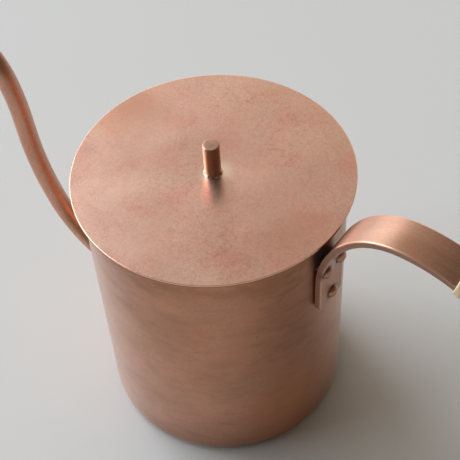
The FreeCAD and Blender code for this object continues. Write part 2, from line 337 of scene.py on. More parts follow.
def can_copper():
    """Satin copper under a thin clear film, rubbed round and round, with smudges, smoke, painted shadow and
    one scratch.
    """
    material, shader, place = principled(
        "can_copper", Metallic=1.0, Anisotropic=0.25, Coat_Weight=0.55, Coat_Roughness=0.38,
        Sheen_Weight=0.42, Sheen_Roughness=0.35, Sheen_Tint=(1.0, 0.88, 0.8, 1.0))
    tone, cloud = patinated(stretched(place, (1.0, 1.0, 1.25)), patch=24, metal=(203, 140, 106),
                            tan=(189, 131, 98), rose=(199, 129, 99), rose_share=0.6)
    lines = rubbed_lines(place, (40, 40, 700))
    smudge = mottle(stretched(place, (1.0, 1.0, 2.2)), per_metre(9), 5.0, 0.6)
    tone = shaded(tone, varied(lines, 0.97, 1.025)*spread(smudge, 0.3, 0.5, 0.93, 1.0))
    tone = mixed(spots(place, warm_marks), tone, warm_tone)
    # Smoke, and painted shadow under the lid and beside the handle's foot.
    tone = mixed(spots(place, smoke_and_shadow_marks)*spread(smudge, 0.3, 0.6, 1.0, 0.6), tone, smoke_and_shadow_tone)
    hairline = grouped(place, scratch, {
        "Start": metres(scratch_start), "End": metres(scratch_end), "Width": scratch_width*MM})
    tone = mixed(hairline*scratch_strength, tone, scratch_tone)
    rough = varied(cloud, 0.34, 0.42) + spread(smudge, 0.3, 0.6, 0.03, -0.01)
    surface(shader, tone, rough, bumped(lines, 0.01, 0.3))
    put(place.tree, "ShaderNodeTangent", direction_type="RADIAL", axis="Z").to(shader["Tangent"])
    return material


def tin_lining():
    """Tin wiped on while hot, which leaves faint streaks round the inside."""
    material, shader, place = principled("tin_lining", Metallic=1.0)
    wiped = rubbed_lines(place, (60, 60, 260))
    tone = mixed(varied(wiped), colour(176, 172, 164), colour(206, 203, 196))
    surface(shader, tone, varied(wiped, 0.3, 0.46), bumped(wiped, 0.04, 0.4))
    return material


def placed(name, content):
    """A new object in the scene."""
    piece = bpy.data.objects.new(name, content)
    bpy.context.collection.objects.link(piece)
    return piece


def mesh_object(name, mesh, *materials, crease=50):
    """An object with smooth faces, and crisp edges where they turn by more than the crease in degrees."""
    mesh.shade_smooth()
    mesh.set_sharp_from_angle(angle=math.radians(crease))
    for material in materials:
        mesh.materials.append(material)
    return placed(name, mesh)


def as_object(name, shape, *materials, crease=50):
    """Turns a bmesh in millimetres into an object in metres."""
    bmesh.ops.remove_doubles(shape, verts=shape.verts, dist=0.0005)
    bmesh.ops.recalc_face_normals(shape, faces=shape.faces)
    shape.transform(Matrix.Scale(MM, 4))
    mesh = bpy.data.meshes.new(name)
    shape.to_mesh(mesh)
    shape.free()
    return mesh_object(name, mesh, *materials, crease=crease)


def plain_mesh(piece):
    """The piece's mesh with its modifiers applied. The piece itself is removed."""
    graph = bpy.context.evaluated_depsgraph_get()
    mesh = bpy.data.meshes.new_from_object(piece.evaluated_get(graph), depsgraph=graph)
    bpy.data.objects.remove(piece)
    return mesh


spout_radius = 4.0
spout_height = 20.3
hole_radius = spout_radius + 0.05
can_blank = as_object("can_blank", can_shape, can_copper(), tin_lining())
drill_outline = [(0, 0), (hole_radius, 0), (hole_radius, can_radius), (0, can_radius)]
spout_drill = as_object("spout_drill", lathe(drill_outline, 64))
spout_drill.data.transform(Matrix.Translation((0, 0, spout_height*MM)) @ Matrix.Rotation(-math.pi/2, 4, "Y"))
cut = can_blank.modifiers.new("spout hole", "BOOLEAN")
cut.object = spout_drill
cut.solver = "EXACT"
can = mesh_object("can", plain_mesh(can_blank), crease=10)
bpy.data.objects.remove(spout_drill)
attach(can, "kettle")
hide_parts("body_shell")

# The spout
# One length of drawn copper tube, bent by hand in the plane of the handle: out of the can low down,
# up along it, and over to a level mouth. Its foot passes through the wall and is brazed there.


class Route:
    """Straight runs and tangent bends in the upright plane of the spout and the handle, in millimetres."""

    def __init__(self, reach, height, heading, side):
        self.start = (reach, height, math.radians(heading))
        self.side = side
        self.legs = []

    def run(self, length):
        self.legs.append((length, 0.0))

    def bend(self, radius, turn):
        self.legs.append((radius*math.radians(abs(turn)), math.copysign(1/radius, turn)))

    def length(self):
        return sum(length for length, curve in self.legs)

    def state(self, distance):
        """How far out, how high and which way the route is at this distance along it."""
        reach, height, heading = self.start
        left = distance
        for length, curve in self.legs:
            step = min(left, length)
            half_turn = step*curve/2
            chord = 2*math.sin(half_turn)/curve if curve else step
            reach += chord*math.cos(heading + half_turn)
            height += chord*math.sin(heading + half_turn)
            heading += 2*half_turn
            left -= step
        return reach, height, heading

    def normal(self, distance):
        heading = self.state(distance)[2]
        return Vector((-self.side*math.sin(heading), 0, math.cos(heading)))

    def point(self, distance, offset=0.0, across=0.0):
        reach, height, heading = self.state(distance)
        return Vector((self.side*reach, across, height)) + self.normal(distance)*offset

    def line(self, name, distances):
        """An object of one open line of edges, through the route's points at these distances."""
        mesh = bpy.data.meshes.new(name)
        points = [self.point(distance)*MM for distance in distances]
        mesh.from_pydata(points, [(place, place + 1) for place in range(len(points) - 1)], [])
        return placed(name, mesh)


def even(start, end, spacing):
    """Distances from start to end, about this far apart."""
    count = max(1, round((end - start)/spacing))
    return [start + (end - start)*step/count for step in range(count + 1)]


def tree_of(name, inputs):
    """A new geometry tree with named inputs."""
    inputs = {"Geometry": "Geometry", **inputs, "Material": "Material"}
    return group_of(name, inputs, {"Geometry": "Geometry"}, "GeometryNodeTree")


def grown(carrier, tree, **values):
    """The plain mesh that a geometry tree makes of a carrier with these inputs."""
    modifier = carrier.modifiers.new(tree.name, "NODES")
    modifier.node_group = tree
    for socket in tree.interface.items_tree:
        label = socket.name.lower().replace(" ", "_")
        if socket.in_out == "INPUT" and label in values:
            modifier[socket.identifier] = values[label]
    return plain_mesh(carrier)


def faced(curve, way):
    """A curve whose normals point this way."""
    return put(curve.tree, "GeometryNodeSetCurveNormal", {"Curve": curve, "Normal": way}, mode="FREE")


def upright_path(geometry):
    """The carrier's line as a curve whose normals all point across it, along Y."""
    return faced(put(geometry.tree, "GeometryNodeMeshToCurve", {0: geometry}), (0, 1, 0))


def swept(path, section, capped):
    """The skin that a section leaves as it follows a path."""
    return put(path.tree, "GeometryNodeCurveToMesh", {
        "Curve": path, "Profile Curve": section, "Fill Caps": capped})


def finished(geometry, given, result):
    """The end of every geometry tree: real mesh, with its material."""
    real = put(geometry.tree, "GeometryNodeRealizeInstances", {0: geometry})
    put(geometry.tree, "GeometryNodeSetMaterial", {0: real, "Material": given["Material"]}).to(result[0])


# Tube along a path: the outer skin of a round tube. Its wall is given by a modifier that follows.
tube_tree, given, result = tree_of("tube along a path", {"Radius": "Float", "Sides": "Int"})
ring = put(tube_tree, "GeometryNodeCurvePrimitiveCircle", {
    "Resolution": given["Sides"], "Radius": given["Radius"]})
finished(swept(upright_path(given["Geometry"]), ring, False), given, result)


def spout_copper():
    """Drawn tube, duller than the can, with the faint ripple of the bending."""
    material, shader, place = principled("spout_copper", Metallic=1.0, Coat_Weight=0.5, Coat_Roughness=0.3)
    tone, cloud = patinated(place, patch=30, metal=(219, 164, 137), tan=(208, 156, 129),
                            rose=(216, 154, 129), rose_share=0.5)
    ripple = mottle(place, per_metre(5), 3.0)
    surface(shader, tone, varied(cloud, 0.42, 0.52), bumped(ripple, 0.05, 0.25))
    return material


spout_wall = 0.8
spout_stub = 1.6
spout_lead = 3.0
spout_lip_round = 0.25
spout_sides = 48
rise_turn = 64.5
upright_turn = 20.7
lean_turn = 11.9
spout_route = Route(bore_radius - spout_stub, spout_height, 0, side=-1)
spout_route.run(spout_stub + can_wall + spout_lead)
spout_route.bend(42.4, rise_turn)
spout_route.bend(97.0, upright_turn)
spout_route.run(9.9)
spout_route.bend(82.4, -lean_turn)
spout_route.bend(29.3, lean_turn - rise_turn - upright_turn)
spout_route.run(5.0)
spout_path = spout_route.line("spout_path", even(0, spout_route.length(), 1.2))
spout_blank = mesh_object("spout_blank", grown(
    spout_path, tube_tree, radius=spout_radius*MM, sides=spout_sides, material=spout_copper()))
wall = spout_blank.modifiers.new("wall", "SOLIDIFY")
wall.thickness = spout_wall*MM
wall.offset = -1
lips = spout_blank.modifiers.new("lips", "BEVEL")
lips.width = spout_lip_round*MM
lips.segments = 3
lips.limit_method = "ANGLE"
lips.angle_limit = math.radians(60)
spout = mesh_object("spout", plain_mesh(spout_blank))
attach(spout, "kettle")
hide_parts("spout_tube")

# The braze at the spout's foot
# Silver braze that ran round the tube where it meets the wall: a hollow fillet, never quite even.
# It took up copper as it ran, so it is pinkish, with bright silver glints.
braze_rim = 0.12
spout_braze_leg = 1.6
spout_braze_seed = 3.0


def wander(place, size, seed):
    """A smooth value from -1 to 1 that changes over about this many millimetres."""
    return noise.noise(Vector(place)/size + Vector((seed, 0.5*seed, -seed)))


def way_round(step, steps):
    """The level way out from the middle, after this many steps of a full turn."""
    turn = 2*math.pi*step/steps
    return Vector((math.cos(turn), math.sin(turn), 0))


def closed_ring(columns):
    """A bmesh of closed cross-sections, each joined to the next all the way round."""
    ring = bmesh.new()
    rows = [[ring.verts.new(point) for point in column] for column in columns]
    for column, following in zip(rows, rows[1:] + rows[:1]):
        for place in range(len(column)):
            beyond = (place + 1) % len(column)
            ring.faces.new((column[place], column[beyond], following[beyond], following[place]))
    return ring


def braze_ring(radius, leg, seed, steps=96, rows=8):
    """A fillet of braze on the plane Z = 0, round a rod of this radius. Its width and height wander."""
    columns = []
    for step in range(steps):
        way = way_round(step, steps)
        width = leg*(0.72 + 0.28*wander(way*radius, 1.8, seed))
        height = leg*(0.75 + 0.25*wander(way*radius, 1.5, seed + 7))
        column = [way*radius, way*(radius + width)]
        for row in range(rows + 1):
            angle = math.pi/2*row/rows
            out = radius + width*(1 - math.sin(angle))
            column.append(way*out + Vector((0, 0, braze_rim + (height - braze_rim)*(1 - math.cos(angle)))))
        columns.append(column)
    return closed_ring(columns)


def silver_braze():
    """Pools of silver among the pinkish film that the flux leaves."""
    material, shader, place = principled("silver_braze", Metallic=1.0)
    pools = mottle(place, per_metre(1.4), 3.0)
    flux = mixed(spread(pools, 0.35, 0.55), colour(168, 124, 104), colour(200, 168, 150))
    tone = mixed(spread(pools, 0.52, 0.6), flux, colour(242, 234, 226))
    surface(shader, tone, spread(pools, 0.4, 0.62, 0.4, 0.18), bumped(pools, 0.25, 0.5))
    return material


silver = silver_braze()
spout_ring = braze_ring(spout_radius, spout_braze_leg, spout_braze_seed)
spout_ring.transform(Matrix.Translation((-can_radius, 0, spout_height)) @ Matrix.Rotation(-math.pi/2, 4, "Y"))
for vertex in spout_ring.verts:
    vertex.co.x += can_radius - math.sqrt(can_radius**2 - vertex.co.y**2)
spout_braze = as_object("spout_braze_ring", spout_ring, silver)
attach(spout_braze, "kettle")
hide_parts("spout_braze")

# The handle bar
# One flat copper bar, its foot upright against the can, bent out over the rim and down in a hook.
# The edges are eased with a file and rubbed bright, the end corners rounded, the faces rubbed lengthways. A
# highlight is painted along the edges, and shade down the narrow sides.
bar_width = 14.0
bar_thickness = 2.7
bar_edge = 0.5
bar_foot_corner = 0.6
bar_end_corner = 2.5
foot_height = can_height - 35.2
bend_height = can_height - 21.8
grip_from_crown = 18.9
grip_end_bare = 12.0
grip_radius = 70.0
cane_turns = 24
cane_pitch = 3.3
bar_route = Route(can_radius + bar_thickness/2, foot_height, 90, side=1)
bar_route.run(bend_height - foot_height)
bar_route.bend(43.9, -38.8)
bar_route.bend(26.2, -48.2)
wound_from = bar_route.length() + grip_from_crown
wound_to = wound_from + cane_turns*cane_pitch
bar_route.bend(49.2, -40.0)
bar_route.bend(grip_radius, -math.degrees((wound_to + grip_end_bare - bar_route.length())/grip_radius))


def keep(geometry, name, value, kind):
    """The geometry with a value stored on its points under a name."""
    return put(geometry.tree, "GeometryNodeStoreNamedAttribute", {
        "Geometry": geometry, "Name": name, "Value": value}, data_type=kind, domain="POINT")


def kept(tree, name, kind):
    """The value that is stored on the geometry under a name."""
    return put(tree, "GeometryNodeInputNamedAttribute", {"Name": name}, data_type=kind)


def position(tree):
    """Where a point of the geometry is."""
    return put(tree, "GeometryNodeInputPosition")


def along_line(tree, label):
    """How far along its line a point is, as a Length or as a Factor from 0 to 1."""
    return put(tree, "GeometryNodeSplineParameter")[label]


def eased_oblong(width, height, edge, steps):
    """A flat oblong line with round corners."""
    oblong = put(width.tree, "GeometryNodeCurvePrimitiveQuadrilateral", {"Width": width, "Height": height})
    return put(width.tree, "GeometryNodeFilletCurve", {"Curve": oblong, "Count": steps, "Radius": edge},
               mode="POLY")


# Bar along a path: a flat bar with eased edges, its corners rounded off at both ends
bar_tree, given, result = tree_of("bar along a path", {
    "Width": "Float", "Thickness": "Float", "Edge": "Float", "First Corner": "Float", "Last Corner": "Float"})
path = upright_path(given["Geometry"])
total = put(bar_tree, "GeometryNodeCurveLength", {0: path})
path = keep(path, "so_far", along_line(bar_tree, "Length"), "FLOAT")
eased = eased_oblong(given["Width"], given["Thickness"], given["Edge"], 4)
eased = keep(eased, "section", position(bar_tree), "FLOAT_VECTOR")
so_far = kept(bar_tree, "so_far", "FLOAT")


def corner_loss(distance, corner):
    """How far a round corner draws in the bar's edge at this distance from its end."""
    inset = corner - distance.math("MINIMUM", corner)
    return corner - (corner*corner - inset*inset).math("MAXIMUM", 0.0).math("SQRT")


lost = corner_loss(so_far, given["First Corner"]) + corner_loss(total - so_far, given["Last Corner"])
half = given["Width"]*0.5
slim = put(bar_tree, "ShaderNodeCombineXYZ", {0: 1.0, 1: (half - lost)/half, 2: 1.0})
bar = put(bar_tree, "GeometryNodeSetPosition", {
    "Geometry": swept(path, eased, True), "Position": position(bar_tree)*slim})
finished(bar, given, result)

foot_warmth = (((51.0, 0.0, 88.0), (16, 16, 26), 0.6),)
rivet_marks = ((19.8, -4.3), (19.8, 4.3), (3.6, 0.4))
# Painted shade round each rivet: its size and its strength.
rivet_shade_size = (4.6, 4.6, 4.6)
rivet_shade_strength = 1.5


def towards(value, edge, start, end, strength=1.0):
    """A mask that rises as a value nears an edge, between two distances short of it in millimetres."""
    return spread(value, (edge - start)*MM, (edge - end)*MM, 0.0, strength)


def stored(place, name):
    """A value that is stored on the mesh under a name."""
    return put(place.tree, "ShaderNodeAttribute", attribute_name=name)


def bar_copper(name, shade_mask):
    """Copper rubbed lengthways, with rubbed edges that carry a painted highlight, and painted shade down the
    narrow sides. The shade mask is a function that gives where more shade is painted.
    """
    material, shader, place = principled(
        name, Metallic=1.0, Anisotropic=0.2, Coat_Weight=0.6, Coat_Roughness=0.28)
    tone, cloud = patinated(place, patch=22, metal=(176, 136, 114), tan=(169, 130, 109),
                            rose=(180, 127, 105), rose_share=0.55)
    lines = rubbed_lines(place, (25, 900, 25))
    tone = shaded(tone, varied(lines, 0.92, 1.06))
    tone = mixed(spots(place, foot_warmth), tone, colour(196, 124, 82))
    section = put(place.tree, "ShaderNodeSeparateXYZ", {0: stored(place, "section")["Vector"]})
    across = section["X"].math("ABSOLUTE")
    through = section["Y"].math("ABSOLUTE")
    # Painted shade down the narrow sides, then a painted highlight along the edges, which are also rubbed
    # bright.
    tone = mixed(towards(across, bar_width/2, 0.25, 0.05, 0.4), tone, colour(140, 92, 68))
    edges = towards(across, bar_width/2, 0.7, 0.3, 0.6)*towards(through, bar_thickness/2, 0.65, 0.3)
    tone = mixed(edges, tone, colour(240, 188, 160))
    # Painted shade round the rivets, or in the crevice under a head.
    tone = mixed(shade_mask(place).math("MINIMUM", 0.85), tone, colour(64, 42, 32))
    rough = varied(cloud, 0.36, 0.44) + varied(lines, -0.03, 0.03)
    surface(shader, tone, rough, bumped(lines, 0.015, 0.3))
    return material


def shade_round_the_rivets(place):
    """Painted shade on the bar round each rivet."""
    return spots(place, [(bar_route.point(distance, -bar_thickness/2, across), rivet_shade_size, rivet_shade_strength)
                         for distance, across in rivet_marks])


bar_metal = bar_copper("bar_copper", shade_round_the_rivets)
bar_stations = even(0, bar_foot_corner, 0.1)
bar_stations += even(bar_foot_corner, bar_route.length() - bar_end_corner, 1.0)[1:]
bar_stations += even(bar_route.length() - bar_end_corner, bar_route.length(), 0.25)[1:]
bar_mesh = grown(
    bar_route.line("bar_path", bar_stations), bar_tree, width=bar_width*MM, thickness=bar_thickness*MM,
    edge=bar_edge*MM, first_corner=bar_foot_corner*MM, last_corner=bar_end_corner*MM, material=bar_metal)
handle_bar = mesh_object("handle_bar", bar_mesh, crease=8)
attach(handle_bar, "kettle")
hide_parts("handle_strap")

# The rivets
# Three solid copper rivets through bar and wall: two side by side near the rim and one below them.
# Each head is peened over by hand on the bar. The tail inside the can is a low dome.
shank_diameter = 3.2
shank_length = 4.6
head_diameter = 5.6
head_height = 1.9
tail_diameter = 6.4
tail_height = 1.2
tail_rim = 0.2
tail_root = 1.1
rivet_steps = 32
hammer_size = 1.9
hammer_depth = 0.22
hammer_level = 0.75
crevice_height = 0.6

# Rivets on points: one shape on each point, turned the way that is stored there, with its own hammer marks
rivet_tree, given, result = tree_of("rivets on points", {
    "Head": "Object", "Tail": "Object", "Mark": "Float"})
inside = kept(rivet_tree, "inside", "BOOLEAN")
outside = put(rivet_tree, "FunctionNodeBooleanMath", {0: inside}, operation="NOT")
way = kept(rivet_tree, "way", "FLOAT_VECTOR")
turned = put(rivet_tree, "FunctionNodeAlignRotationToVector", {"Vector": way}, axis="Z")
joined = rivet_tree.nodes.new("GeometryNodeJoinGeometry")
for shape, chosen in ((given["Head"], outside), (given["Tail"], inside)):
    pattern = put(rivet_tree, "GeometryNodeObjectInfo", {"Object": shape})["Geometry"]
    copies = put(rivet_tree, "GeometryNodeInstanceOnPoints", {
        "Points": given["Geometry"], "Selection": chosen, "Instance": pattern, "Rotation": turned})
    copies.to(joined.inputs[0])
solid = put(rivet_tree, "GeometryNodeRealizeInstances", {0: Value(joined.outputs[0])})
blows = put(rivet_tree, "ShaderNodeTexVoronoi", {"Scale": per_metre(hammer_size)}, feature="SMOOTH_F1")
depth = (blows["Distance"] - hammer_level)*given["Mark"]
dent = scaled(put(rivet_tree, "GeometryNodeInputNormal"), depth)
solid = put(rivet_tree, "GeometryNodeSetPosition", {"Geometry": solid, "Offset": dent})
finished(solid, given, result)


def shade_under_the_heads(place):
    """Painted shade in the crevice where a head meets the bar, and on the shank in the gap behind the bar."""
    return stored(place, "crevice")["Fac"]


def dome_outline(diameter, height, steps=10):
    """A low spherical cap from its top down to its rim."""
    ball = ((diameter/2)**2 + height**2)/(2*height)
    half_angle = math.degrees(math.atan2(diameter/2, ball - height))
    cap = arc((0, height - ball), ball, 90, 90 - half_angle, steps)
    return [(0, height)] + cap[1:]


def clamped(value):
    """A value kept between 0 and 1."""
    return min(1, max(0, value))


head_outline = dome_outline(head_diameter, head_height)
head_outline += [(shank_diameter/2, 0), (shank_diameter/2, -shank_length), (0, -shank_length)]
head_shape = as_object("rivet_head", lathe(head_outline, rivet_steps))
tail_outline = dome_outline(tail_diameter, tail_height) + [(tail_diameter/2, -tail_root), (0, -tail_root)]
tail_shape = as_object("rivet_tail", lathe(tail_outline, rivet_steps))
# How much shade is painted on each point of a head: all of the shank, fading out up the lowest part of the
# dome.
crevice = head_shape.data.attributes.new("crevice", "FLOAT", "POINT")
for vertex in head_shape.data.vertices:
    crevice.data[vertex.index].value = clamped(1 - vertex.co.z/MM/crevice_height)
rivet_points = []
rivet_ways = []
for distance, across in rivet_marks:
    outward = -bar_route.normal(distance)
    place = bar_route.point(distance, -bar_thickness/2, across)
    tail_reach = math.sqrt(bore_radius**2 - (abs(across) + tail_diameter/2)**2)
    tail_reach -= tail_diameter/2*abs(outward.z)
    rivet_grip = (place.x - tail_reach)/outward.x + tail_rim
    rivet_points += [place, place - outward*rivet_grip]
    rivet_ways += [outward, -outward]
points_mesh = bpy.data.meshes.new("rivet_points")
points_mesh.from_pydata([point*MM for point in rivet_points], [], [])
points_mesh.attributes.new("way", "FLOAT_VECTOR", "POINT").data.foreach_set(
    "vector", [part for outward in rivet_ways for part in outward])
points_mesh.attributes.new("inside", "BOOLEAN", "POINT").data.foreach_set(
    "value", [place % 2 == 1 for place in range(len(rivet_points))])
rivets = mesh_object("rivets", grown(
    mesh_object("rivet_points", points_mesh), rivet_tree, head=head_shape, tail=tail_shape,
    mark=hammer_depth*MM, material=bar_copper("rivet_copper", shade_under_the_heads)))
bpy.data.objects.remove(head_shape)
bpy.data.objects.remove(tail_shape)
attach(rivets, "kettle")
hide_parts("handle_rivets")

# The cane on the grip
# One length of split cane, flat underneath and rounded on top, wound tight round the bar side by side.
# It is held by its own tension, and both ends lie on the inner side where the fingers cover them.
cane_width = 3.0
cane_thickness = 1.1
cane_seat = 0.05
cane_slack = 0.004
cane_seed = 5.0
cane_points = 48
cane_sides = 16
cane_squareness = 0.62
cane_fibres = 46.0
cane_first_place = 0.72

# Cane wound on a bar: a line that runs round the bar as it goes along, swept with the cane's section
cane_tree, given, result = tree_of("cane wound on a bar", {
    "Turns": "Int", "Points": "Int", "Bar Width": "Float", "Bar Thickness": "Float", "Cane Width": "Float",
    "Cane Thickness": "Float", "Seat": "Float", "Slack": "Float", "Seed": "Float"})
path = upright_path(given["Geometry"])
count = given["Turns"]*given["Points"] + 1
thread = put(cane_tree, "GeometryNodeCurvePrimitiveLine", {"End": (1, 0, 0)})
thread = put(cane_tree, "GeometryNodeResampleCurve", {"Curve": thread, "Count": count})
share = along_line(cane_tree, "Factor")
turn = share*given["Turns"]
sway = put(cane_tree, "ShaderNodeTexNoise", {"W": turn + given["Seed"], "Scale": 0.9}, noise_dimensions="1D")


def sampled(curve, factor):
    """A point on a curve, at this share of its length."""
    return put(cane_tree, "GeometryNodeSampleCurve", {"Curves": curve, "Factor": factor}, mode="FACTOR",
               use_all_curves=True)


along = sampled(path, share + (sway - 0.5)*given["Slack"])
proud = given["Seat"]*2.0 + given["Cane Thickness"]
bend = given["Bar Thickness"]*0.2 + given["Cane Thickness"]
loop = eased_oblong(given["Bar Width"] + proud, given["Bar Thickness"] + proud, bend, 8)
around = sampled(loop, (turn + cane_first_place).math("FRACT"))
side = along["Tangent"].math("CROSS_PRODUCT", (0, 1, 0))


def on_section(flat_vector):
    """A vector of the bar's flat section, set upright at this place along the bar."""
    parts = put(cane_tree, "ShaderNodeSeparateXYZ", {0: flat_vector})
    return put(cane_tree, "ShaderNodeCombineXYZ", {"Y": parts["X"]}) + scaled(side, parts["Y"])


def flattened(part, size):
    """One axis of a circle, squared up towards a flat strip of this size."""
    return part.math("SIGN")*part.math("ABSOLUTE").math("POWER", cane_squareness)*(size*0.5)


spot = along["Position"] + on_section(around["Position"])
thread = keep(thread, "facing", on_section(around["Normal"]), "FLOAT_VECTOR")
thread = keep(thread, "wound", turn, "FLOAT")
thread = put(cane_tree, "GeometryNodeSetPosition", {"Geometry": thread, "Position": spot})
thread = faced(thread, kept(cane_tree, "facing", "FLOAT_VECTOR"))
section = put(cane_tree, "GeometryNodeCurvePrimitiveCircle", {"Resolution": cane_sides, "Radius": 1.0})
section = keep(section, "girth", along_line(cane_tree, "Factor"), "FLOAT")
parts = put(cane_tree, "ShaderNodeSeparateXYZ", {0: position(cane_tree)})
strip = put(cane_tree, "ShaderNodeCombineXYZ", {"X": flattened(parts["X"], given["Cane Thickness"]),
                                                "Y": flattened(parts["Y"], given["Cane Width"])})
section = put(cane_tree, "GeometryNodeSetPosition", {"Geometry": section, "Position": strip})
finished(swept(thread, section, True), given, result)


def cane_skin():
    """Pale cane with darker fibres along it, whose tint changes slowly from turn to turn."""
    material, shader, place = principled("cane_skin", Coat_Weight=0.15, Coat_Roughness=0.3)
    wound = stored(place, "wound")["Fac"]
    girth = stored(place, "girth")["Fac"]
    strip = put(place.tree, "ShaderNodeCombineXYZ", {"X": wound, "Y": girth*cane_fibres})
    fibre = mottle(strip, 1.0, 5.0, 0.65)
    tint = put(place.tree, "ShaderNodeTexNoise", {"W": wound, "Scale": 0.8, "Detail": 2.0},
               noise_dimensions="1D")
    tone = mixed(varied(tint), colour(222, 197, 149), colour(239, 220, 178))
    tone = mixed(spread(fibre, 0.42, 0.72, 0.0, 0.65), tone, colour(172, 141, 95))
    surface(shader, tone, varied(fibre, 0.38, 0.55), bumped(fibre, 0.06, 0.5))
    return material


cane_mesh = grown(
    bar_route.line("cane_path", even(wound_from, wound_to, 1.0)), cane_tree, turns=cane_turns,
    points=cane_points, bar_width=bar_width*MM, bar_thickness=bar_thickness*MM, cane_width=cane_width*MM,
    cane_thickness=cane_thickness*MM, seat=cane_seat*MM, slack=cane_slack, seed=cane_seed,
    material=cane_skin())
cane_grip = mesh_object("cane_grip", cane_mesh)
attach(cane_grip, "kettle")
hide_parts("grip_wrap")

# The lid
# A flat disc cut from copper sheet, a few millimetres wider than the can, its edge eased and rubbed bright,
# with a highlight painted on its upper half and shade below.
# Heat and handling left the satin top mottled: tan and rose patches and a fine net of reddish veins.
# Some lighter and darker patches on the top, and a pale ring round the knob, are painted highlights and
# shade.
lid_radius, lid_foot, lid_top = turned_size("lid_disc")
lid_edge = 0.2
lid_rows = 22
underside_rows = 14
lid_flat = lid_radius - lid_edge
tenon_hole = 2.05
lid_dish = 0.5
dish_reach = 24.0
wave_height = 0.1
wave_size = 26
wave_fade = 12
wave_start = 6
wave_seed = 11


def lid_sink(x, y):
    """How far the sheet has sunk here: a shallow dish round the knob, and low waves between knob and edge."""
    reach = math.hypot(x, y)
    share = min(1, reach/dish_reach)
    level = clamped((lid_radius - reach)/wave_fade)*clamped((reach - wave_start)/wave_fade)
    waves = wave_height*level*(0.5 + 0.5*wander((x, y, 0), wave_size, wave_seed))
    return waves + lid_dish*(1 - share*share*(3 - 2*share))


lid_outline = arc((lid_flat, lid_top - lid_edge), lid_edge, 90, 0, 5)
lid_outline += arc((lid_flat, lid_foot + lid_edge), lid_edge, 0, -90, 5)
lid_outline += ramp((lid_flat, lid_foot), (tenon_hole, lid_foot), underside_rows)[1:]
lid_outline += [(tenon_hole, lid_foot)]
lid_outline += ramp((tenon_hole, lid_top), (lid_flat, lid_top), lid_rows)
lid_shape = lathe(lid_outline + lid_outline[:1], full_turn_steps)
for vertex in lid_shape.verts:
    vertex.co.z -= lid_sink(vertex.co.x, vertex.co.y)

# Veins: fine broken lines that wander like a coast, where a noise passes its middle value
veins, given, result = group_of(
    "wandering veins", {"Vector": "Vector", "Size": "Float", "Width": "Float", "Bare": "Float"},
    {"Mask": "Float"})
cover = mottle(given["Vector"], given["Size"]*0.3, 3.0)
net = 0.0
for finer, weight in ((1.0, 1.0), (1.9, 0.7)):
    coast = mottle(given["Vector"], given["Size"]*finer, 4.0, 0.58, 0.7)
    off = (coast - 0.5).math("ABSOLUTE")
    net = (spread(off, 0.0, given["Width"], 1.0, 0.0)*weight).math("MAXIMUM", net)
(net*spread(cover, given["Bare"], given["Bare"] + 0.24)).to(result["Mask"])


def veined(place, size, width, bare):
    """The veins' mask, with bends of about this many millimetres."""
    return grouped(place, veins, {"Size": per_metre(size), "Width": width, "Bare": bare})


def on_the_lid(*marks):
    """Spots on the top of the lid, each given by its x, its y, its two sizes and its strength."""
    return [((x, y, lid_top), (breadth, depth, 10), strength) for x, y, breadth, depth, strength in marks]


crackle_marks = on_the_lid((24.0, -26.0, 44, 30, 1.0), (-34.0, -18.0, 22, 22, 0.2))
# Painted shade and painted highlights on the lid's top.
painted_lid_shade = on_the_lid((38.7, -9.2, 16, 20, 0.5), (-40.3, 6.0, 16, 20, 0.4), (-47.0, 8.0, 12, 34, 0.6))
painted_lid_highlights = on_the_lid((-26.0, -25.3, 20, 20, 0.35), (13.4, 6.6, 12, 12, 0.25))
# A painted highlight on the lid round the knob's foot.
knob_foot_highlight = (((1.0, 0.6, lid_top - lid_dish), (8, 8, 10), 0.8),)


def lid_copper():
    """Mottled satin copper with reddish veins, painted highlights and shade, a painted highlight round the
    knob, and an edge rubbed bright with a painted highlight above and painted shade below.
    """
    material, shader, place = principled("lid_copper", Metallic=1.0)
    tone, cloud = patinated(place, patch=24, metal=(214, 176, 162), tan=(204, 171, 155),
                            rose=(211, 161, 147), rose_share=0.8)
    lines = veined(place, 7, 0.014, 0.42)
    crackle = veined(place, 4, 0.024, 0.26)*spots(place, crackle_marks)
    # Painted shade, then painted highlights.
    tone = mixed(spots(place, painted_lid_shade), tone, colour(192, 146, 124))
    tone = mixed(spots(place, painted_lid_highlights), tone, colour(236, 202, 186))
    # The painted highlight round the knob's foot.
    tone = mixed(spots(place, knob_foot_highlight), tone, colour(244, 226, 214))
    tone = mixed((lines*0.55).math("MAXIMUM", crackle*0.45), tone, colour(176, 108, 90))
    # The edge: rubbed bright, with a highlight painted on its upper half and shade painted on its lower half.
    out = (place*(1, 1, 0)).math("LENGTH")["Value"]
    height = put(place.tree, "ShaderNodeSeparateXYZ", {0: place})["Z"]
    edge = mixed(towards(height, lid_top, 0.85, 0.45), colour(150, 92, 72), colour(247, 194, 166))
    tone = mixed(towards(out, lid_radius, 0.35, 0.1), tone, edge)
    grit = mottle(place, per_metre(0.6), 3.0) + lines*0.3
    waves = bumped(mottle(place, per_metre(34), 1.0), 0.5, 1.0)
    surface(shader, tone, varied(cloud, 0.25, 0.33), bumped(grit, 0.012, 0.3, waves))
    return material


lid = as_object("lid", lid_shape, lid_copper(), crease=8)
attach(lid, "lid")
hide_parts("lid_disc")

